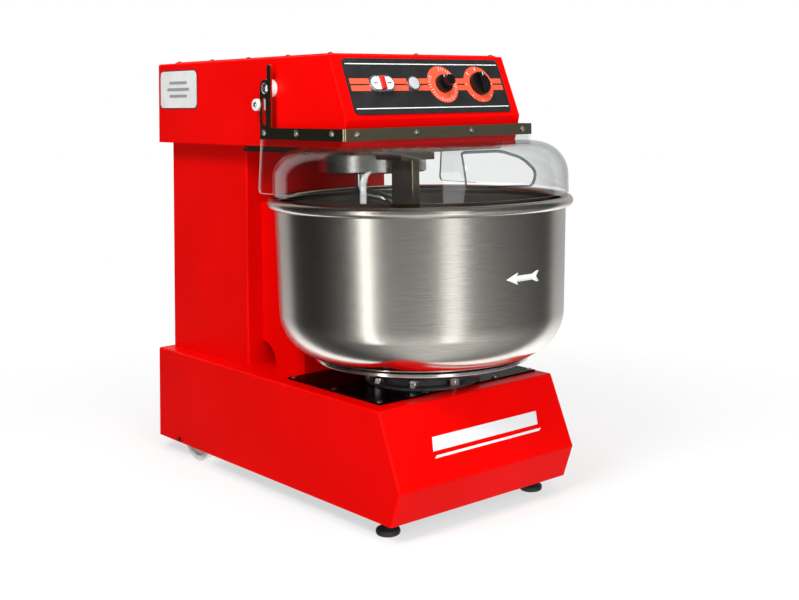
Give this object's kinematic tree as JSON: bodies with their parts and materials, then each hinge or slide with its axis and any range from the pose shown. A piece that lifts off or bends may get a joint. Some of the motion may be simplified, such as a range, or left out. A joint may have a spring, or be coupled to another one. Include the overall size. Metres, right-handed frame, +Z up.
{
  "type": "spiral dough mixer",
  "caption": "Floor-standing spiral dough mixer: folded red cabinet with overhanging head, turning stainless bowl, spiral hook, clear hinged guard and sloping control panel.",
  "frame": {"origin": "on the floor, at the middle of the overall width and the overall length", "axes": "+Z up; the operator stands at -Y and faces +Y; +X is to the operator's right"},
  "size_m": [0.5371, 0.8692, 0.7793],
  "materials": {
    "red_powder_coat": "gloss red powder coat with light orange peel",
    "black_plate": "semi-gloss black",
    "panel_black": "satin black with printed bands",
    "brushed_stainless": "brushed round the bowl, polished rim",
    "dark_stainless": "brushed flat",
    "machined_steel": "machined",
    "zinc_fastener": "zinc plated",
    "welded_steel": "grey primer",
    "cast_housing": "painted casting",
    "motor_alloy": "die cast",
    "belt_rubber": "moulded",
    "clear_polycarbonate": "clear, glossy",
    "white_nylon": "turned nylon",
    "black_plastic": "moulded",
    "foot_rubber": "moulded",
    "white_button": "gloss",
    "red_button": "gloss",
    "chrome_ring": "polished",
    "grey_plastic": "moulded"
  },
  "bodies": {
    "cabinet": {"base_shell": "red_powder_coat", "base_cover_plate": "black_plate", "cover_screws": "zinc_fastener", "column_shell": "red_powder_coat", "rear_cover": "red_powder_coat", "bowl_apron": "red_powder_coat", "head_shell": "red_powder_coat", "head_lid": "red_powder_coat", "head_plate": "dark_stainless", "head_plate_bolts": "zinc_fastener", "chassis_frame": "welded_steel", "rear_axle": "machined_steel", "bowl_bearing_housing": "cast_housing", "bowl_housing_bolts": "zinc_fastener", "spiral_bearing_housing": "cast_housing", "breaker_bar": "dark_stainless", "bearing_carriers": "cast_housing", "shaft_bearings": "machined_steel", "drive_chains": "machined_steel", "drive_belts": "belt_rubber", "motor_housing": "motor_alloy", "guard_bushes": "white_nylon", "guard_pivot_screws": "zinc_fastener", "guard_switch": "black_plastic", "control_panel": "panel_black", "button_bezels": "chrome_ring", "switch_bodies": "grey_plastic", "control_box": "grey_plastic", "power_cable": "black_plastic"},
    "bowl": {"bowl": "brushed_stainless", "bowl_ring": "brushed_stainless", "bowl_shaft": "machined_steel", "bowl_sprocket": "machined_steel"},
    "spiral": {"spiral_hub": "brushed_stainless", "spiral_hook": "brushed_stainless", "spiral_shaft": "machined_steel", "spiral_sprocket": "machined_steel"},
    "column_drive": {"column_shaft": "machined_steel", "column_sprockets": "machined_steel", "large_pulley": "cast_housing"},
    "lower_drive": {"countershaft": "machined_steel", "countershaft_sprockets": "machined_steel"},
    "rotor": {"motor_rotor": "machined_steel", "motor_pulley": "cast_housing"},
    "guard": {"guard_frame": "dark_stainless", "guard_dome": "clear_polycarbonate", "guard_screws": "zinc_fastener"},
    "timer_knob": {"timer_knob": "black_plastic"},
    "selector_knob": {"selector_knob": "black_plastic"},
    "button_left": {"button_left": "white_button"},
    "button_stop": {"button_stop": "red_button"},
    "button_right": {"button_right": "white_button"},
    "button_start": {"button_start": "white_button"},
    "wheel_left": {"wheel_left": "white_nylon"},
    "wheel_right": {"wheel_right": "white_nylon"},
    "foot_left": {"foot_left": "foot_rubber"},
    "foot_right": {"foot_right": "foot_rubber"}
  },
  "joints": [
    {"name": "spiral_spin", "type": "hinge", "parent": "cabinet", "child": "spiral", "pos_m": [0, -0.0335, 0.6], "axis": [0, 0, -1], "continuous": true},
    {"name": "bowl_spin", "type": "hinge", "parent": "cabinet", "child": "bowl", "pos_m": [0, -0.166, 0.3], "axis": [0, 0, -1], "continuous": true},
    {"name": "column_shaft_spin", "type": "hinge", "parent": "cabinet", "child": "column_drive", "pos_m": [-0.09, 0.2, 0.4], "axis": [0, 0, -1], "continuous": true},
    {"name": "countershaft_spin", "type": "hinge", "parent": "cabinet", "child": "lower_drive", "pos_m": [0.04, 0.06, 0.15], "axis": [0, 0, -1], "continuous": true},
    {"name": "rotor_spin", "type": "hinge", "parent": "cabinet", "child": "rotor", "pos_m": [0.06, 0.3, 0.5], "axis": [0, 0, -1], "continuous": true},
    {"name": "guard_hinge", "type": "hinge", "parent": "cabinet", "child": "guard", "pos_m": [0, -0.0075, 0.7205], "axis": [-1, 0, 0], "range_deg": [0, 125]},
    {"name": "timer_turn", "type": "hinge", "parent": "cabinet", "child": "timer_knob", "pos_m": [0.03, -0.19522, 0.72238], "axis": [0, 0.9243, -0.3816], "range_deg": [0, 300]},
    {"name": "selector_turn", "type": "hinge", "parent": "cabinet", "child": "selector_knob", "pos_m": [0.118, -0.19522, 0.72238], "axis": [0, 0.9243, -0.3816], "range_deg": [-45, 45]},
    {"name": "left_button_press", "type": "slide", "parent": "cabinet", "child": "button_left", "axis": [0, 0.9243, -0.3816], "range_m": [0, 0.003], "stiffness_N_per_m": 400},
    {"name": "stop_button_press", "type": "slide", "parent": "cabinet", "child": "button_stop", "axis": [0, 0.9243, -0.3816], "range_m": [0, 0.003], "stiffness_N_per_m": 400},
    {"name": "right_button_press", "type": "slide", "parent": "cabinet", "child": "button_right", "axis": [0, 0.9243, -0.3816], "range_m": [0, 0.003], "stiffness_N_per_m": 400},
    {"name": "start_button_press", "type": "slide", "parent": "cabinet", "child": "button_start", "axis": [0, 0.9243, -0.3816], "range_m": [0, 0.003], "stiffness_N_per_m": 400},
    {"name": "left_wheel_spin", "type": "hinge", "parent": "cabinet", "child": "wheel_left", "pos_m": [-0.1675, 0.2915, 0.05], "axis": [1, 0, 0], "continuous": true},
    {"name": "right_wheel_spin", "type": "hinge", "parent": "cabinet", "child": "wheel_right", "pos_m": [0.1675, 0.2915, 0.05], "axis": [1, 0, 0], "continuous": true},
    {"name": "left_foot_screw", "type": "slide", "parent": "cabinet", "child": "foot_left", "axis": [0, 0, -1], "range_m": [0, 0.015]},
    {"name": "right_foot_screw", "type": "slide", "parent": "cabinet", "child": "foot_right", "axis": [0, 0, -1], "range_m": [0, 0.015]}
  ],
  "couplings": [
    {"joint": "bowl_spin", "follows": "spiral_spin", "ratio": 0.15},
    {"joint": "column_shaft_spin", "follows": "spiral_spin", "ratio": 2.5},
    {"joint": "countershaft_spin", "follows": "spiral_spin", "ratio": 0.75},
    {"joint": "rotor_spin", "follows": "spiral_spin", "ratio": 8.25}
  ]
}
